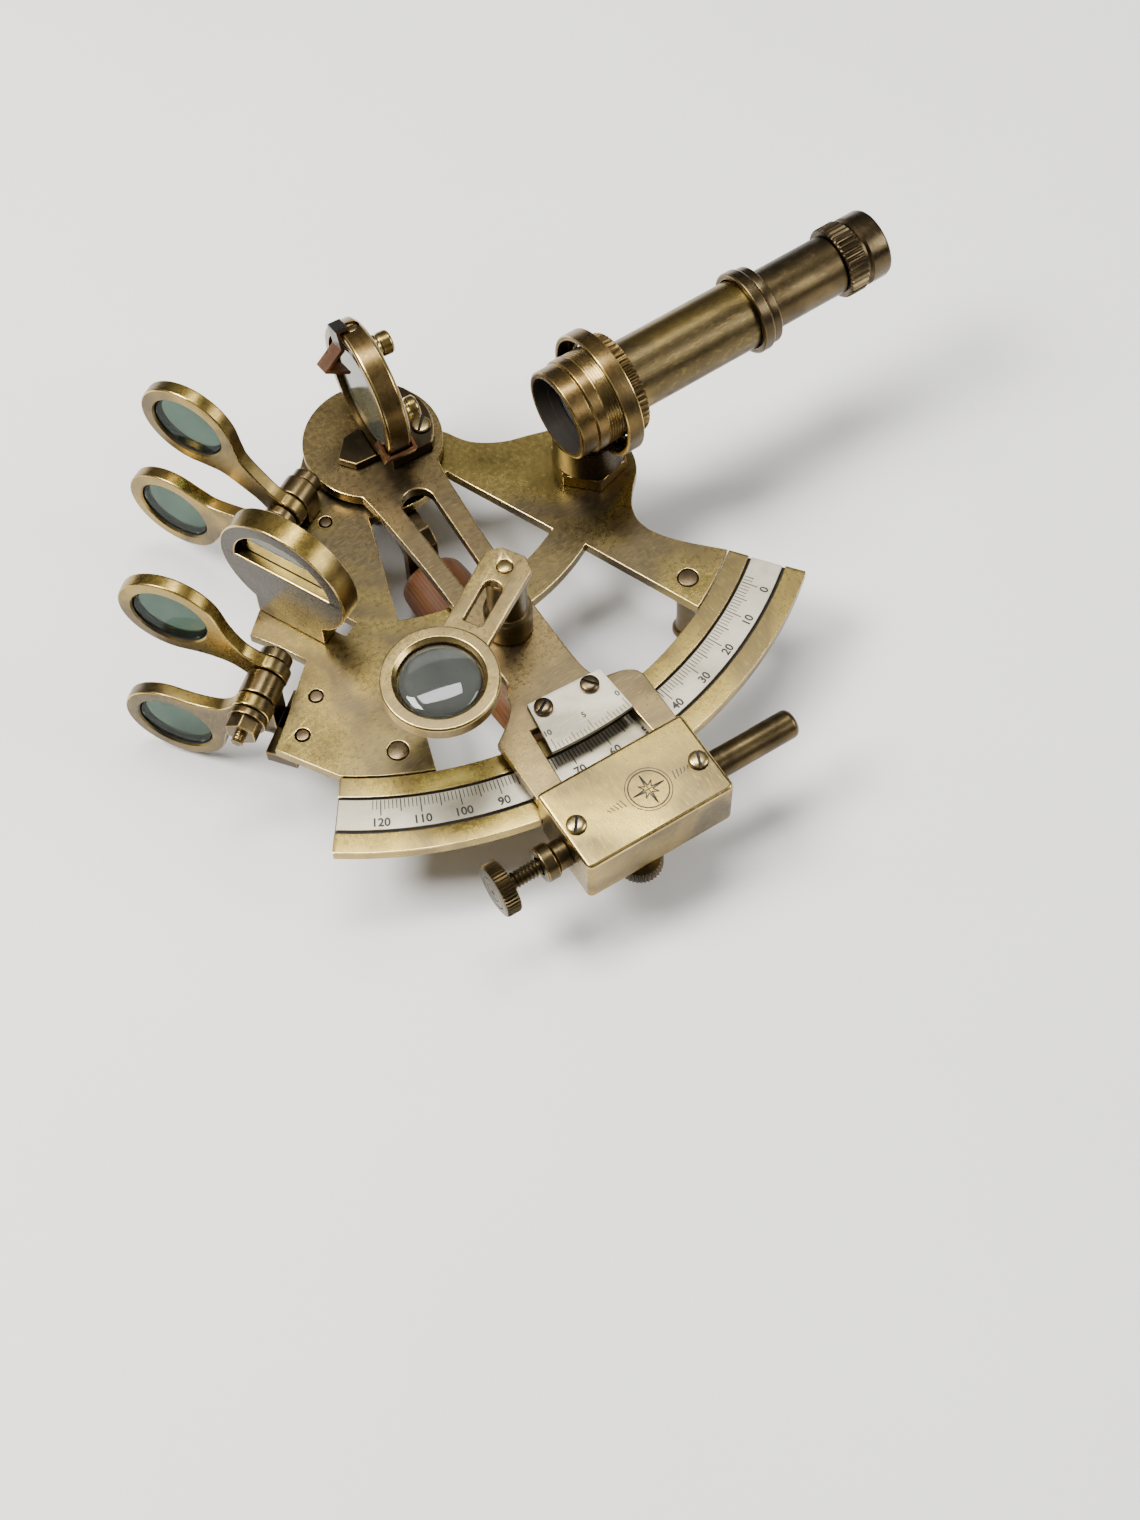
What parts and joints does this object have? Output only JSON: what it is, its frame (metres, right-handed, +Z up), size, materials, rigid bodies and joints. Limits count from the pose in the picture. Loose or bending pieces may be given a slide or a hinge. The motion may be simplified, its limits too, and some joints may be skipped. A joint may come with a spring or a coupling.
{
  "type": "nautical sextant",
  "caption": "Hand-held brass sextant on feet: pierced frame with graduated arc, swinging index arm, two mirrors, hinged shades, magnifier and a sighting telescope.",
  "frame": {"origin": "centre of the bounding box in plan, on the resting surface under the feet", "axes": "+Z up from the resting surface; +X along the telescope towards the eyepiece; +Y from the arc towards the arm pivot"},
  "size_m": [0.2056, 0.1558, 0.0664],
  "materials": {
    "antique_brass": "aged satin brass with patina",
    "gold_brass": "aged satin brass, lighter",
    "dark_brass": "darkened brass",
    "bronzed_brass": "chemically bronzed brass",
    "copper_strip": "bare copper-coloured spring strip",
    "silvered_scale": "satin silver scale",
    "shade_glass": "grey-green tinted glass",
    "mirror_glass": "silvered glass",
    "lens_glass": "clear lens glass",
    "wood": "varnished",
    "screw_metal": "worn screw heads"
  },
  "bodies": {
    "frame": {"frame_plate": "antique_brass", "limb": "gold_brass", "scale_strip": "silvered_scale", "leg_right": "dark_brass", "leg_left": "dark_brass", "pivot_bearing": "bronzed_brass", "grip": "wood", "grip_post": "dark_brass", "grip_bracket": "dark_brass", "grip_screw": "screw_metal", "horizon_frame": "antique_brass", "horizon_glass": "mirror_glass", "index_shade_pin": "dark_brass", "horizon_shade_pin": "dark_brass", "index_shade_bracket": "dark_brass", "horizon_shade_bracket": "dark_brass", "bracket_rivet_1": "screw_metal", "bracket_rivet_2": "screw_metal", "scope_nut": "gold_brass", "scope_holder": "antique_brass", "scope_objective": "antique_brass", "scope_front_lens": "lens_glass", "scope_lock_ring": "bronzed_brass", "scope_tube": "antique_brass", "scope_end_ring": "bronzed_brass"},
    "draw_tube": {"draw_tube": "dark_brass", "eyepiece_cap": "bronzed_brass", "eye_lens": "lens_glass"},
    "index_arm": {"index_arm": "gold_brass", "index_axle": "dark_brass", "vernier_plate": "silvered_scale", "vernier_screw_1": "screw_metal", "vernier_screw_2": "screw_metal", "clamp_block": "gold_brass", "cover_screw_1": "screw_metal", "cover_screw_2": "screw_metal", "screw_sleeve": "dark_brass", "spring_barrel": "dark_brass", "magnifier_post": "dark_brass", "index_mirror_frame": "gold_brass", "index_mirror_glass": "mirror_glass", "mirror_stud_1": "antique_brass", "mirror_stud_2": "antique_brass", "mirror_foot": "dark_brass", "mirror_foot_screw": "screw_metal", "mirror_clip_near": "copper_strip", "mirror_clip_far": "copper_strip"},
    "tangent_screw": {"tangent_screw": "dark_brass"},
    "clamp_knob": {"clamp_knob": "dark_brass"},
    "magnifier": {"magnifier_arm": "gold_brass", "magnifier_lens": "lens_glass"},
    "index_shade_1": {"shade_index_1_frame": "antique_brass", "shade_index_1_glass": "shade_glass"},
    "index_shade_2": {"shade_index_2_frame": "antique_brass", "shade_index_2_glass": "shade_glass"},
    "horizon_shade_1": {"shade_horizon_1_frame": "antique_brass", "shade_horizon_1_glass": "shade_glass"},
    "horizon_shade_2": {"shade_horizon_2_frame": "antique_brass", "shade_horizon_2_glass": "shade_glass"}
  },
  "joints": [
    {"name": "index_arm_swing", "type": "hinge", "parent": "frame", "child": "index_arm", "pos_m": [-0.01922, 0.05086, 0.024], "axis": [0, 0, 1], "range_deg": [-28.8, 33.8]},
    {"name": "index_shade_1_turn", "type": "hinge", "parent": "frame", "child": "index_shade_1", "pos_m": [-0.04712, 0.04384, 0.03], "axis": [0.8813, 0.4726, 0], "range_deg": [-65, 75]},
    {"name": "index_shade_2_turn", "type": "hinge", "parent": "frame", "child": "index_shade_2", "pos_m": [-0.05241, 0.04101, 0.03], "axis": [0.8813, 0.4726, 0], "range_deg": [-12, 130]},
    {"name": "horizon_shade_1_turn", "type": "hinge", "parent": "frame", "child": "horizon_shade_1", "pos_m": [-0.0732, 0.00768, 0.03], "axis": [0.7965, 0.6046, 0], "range_deg": [-70, 75]},
    {"name": "horizon_shade_2_turn", "type": "hinge", "parent": "frame", "child": "horizon_shade_2", "pos_m": [-0.08132, 0.00151, 0.03], "axis": [0.7965, 0.6046, 0], "range_deg": [-4, 145]},
    {"name": "magnifier_turn", "type": "hinge", "parent": "index_arm", "child": "magnifier", "pos_m": [-0.0212, -0.01201, 0.0518], "axis": [0, 0, 1], "range_deg": [-10, 75]},
    {"name": "tangent_screw_turn", "type": "hinge", "parent": "index_arm", "child": "tangent_screw", "pos_m": [-0.04291, -0.06606, 0.0254], "axis": [0.9995, -0.0314, 0], "continuous": true},
    {"name": "clamp_knob_turn", "type": "hinge", "parent": "index_arm", "child": "clamp_knob", "pos_m": [-0.0266, -0.07257, 0.015], "axis": [0, 0, 1], "range_deg": [-180, 180]},
    {"name": "draw_tube_slide", "type": "slide", "parent": "frame", "child": "draw_tube", "axis": [1, 0, 0], "range_m": [-0.017, 0.012]}
  ]
}
